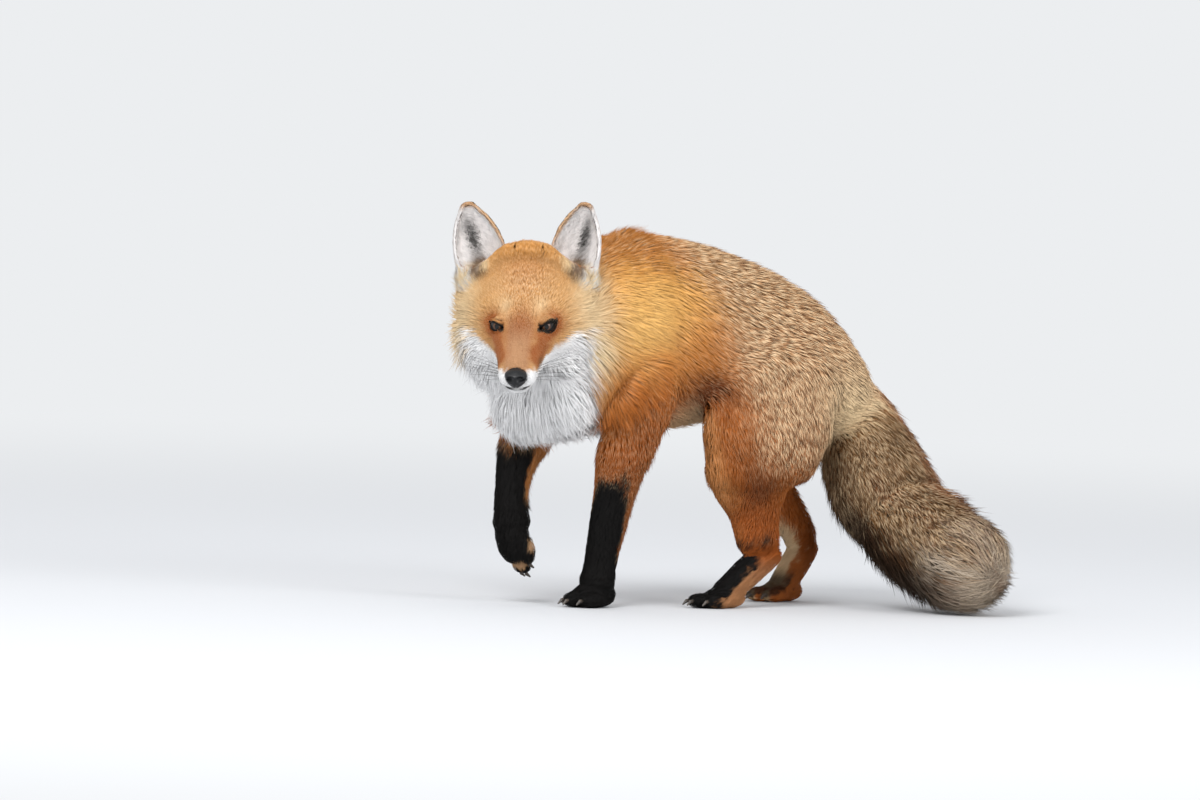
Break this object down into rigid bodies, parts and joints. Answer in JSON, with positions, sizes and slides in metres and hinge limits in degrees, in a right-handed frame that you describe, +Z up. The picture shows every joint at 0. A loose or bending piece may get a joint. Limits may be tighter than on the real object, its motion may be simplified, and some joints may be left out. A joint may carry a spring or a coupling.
{
  "type": "red fox",
  "caption": "Still, life-size red fox in winter coat, stalking with its head turned to its left, one forefoot raised and the brush laid on the ground.",
  "frame": {"origin": "on the floor, at the middle of the fox's bounding box", "axes": "+Z up, the fox's body points along -Y, so its left side is +X"},
  "size_m": [0.2994, 0.6208, 0.4436],
  "materials": {
    "red_fur": "long dense orange fur, pale-tipped on back and haunch",
    "black_fur": "short black fur",
    "brush_fur": "long grey-brown fur over black",
    "ear_fur": "fine pale fur inside the ear, black velvet behind",
    "nose_skin": "moist bare pebbled skin",
    "eye": "wet cornea over an amber iris",
    "claw_horn": "dark horn, worn smooth"
  },
  "bodies": {
    "root": {"ear_left": "ear_fur", "ear_right": "ear_fur", "eye_left": "eye", "eye_right": "eye", "forefoot_left": "black_fur", "forefoot_left_claw_1": "claw_horn", "forefoot_left_claw_2": "claw_horn", "forefoot_left_claw_3": "claw_horn", "forefoot_left_claw_4": "claw_horn", "forefoot_right": "black_fur", "forefoot_right_claw_1": "claw_horn", "forefoot_right_claw_2": "claw_horn", "forefoot_right_claw_3": "claw_horn", "forefoot_right_claw_4": "claw_horn", "foreleg_left_arm": "red_fur", "foreleg_left_forearm": "black_fur", "foreleg_right_arm": "red_fur", "foreleg_right_forearm": "black_fur", "head": "red_fur", "hindfoot_left": "black_fur", "hindfoot_left_claw_1": "claw_horn", "hindfoot_left_claw_2": "claw_horn", "hindfoot_left_claw_3": "claw_horn", "hindfoot_left_claw_4": "claw_horn", "hindfoot_right": "black_fur", "hindfoot_right_claw_1": "claw_horn", "hindfoot_right_claw_2": "claw_horn", "hindfoot_right_claw_3": "claw_horn", "hindfoot_right_claw_4": "claw_horn", "hindleg_left_shank": "red_fur", "hindleg_left_thigh": "red_fur", "hindleg_right_shank": "red_fur", "hindleg_right_thigh": "red_fur", "neck": "red_fur", "nose": "nose_skin", "tail_middle": "brush_fur", "tail_root": "brush_fur", "tail_tip": "brush_fur", "trunk": "red_fur"}
  },
  "joints": []
}
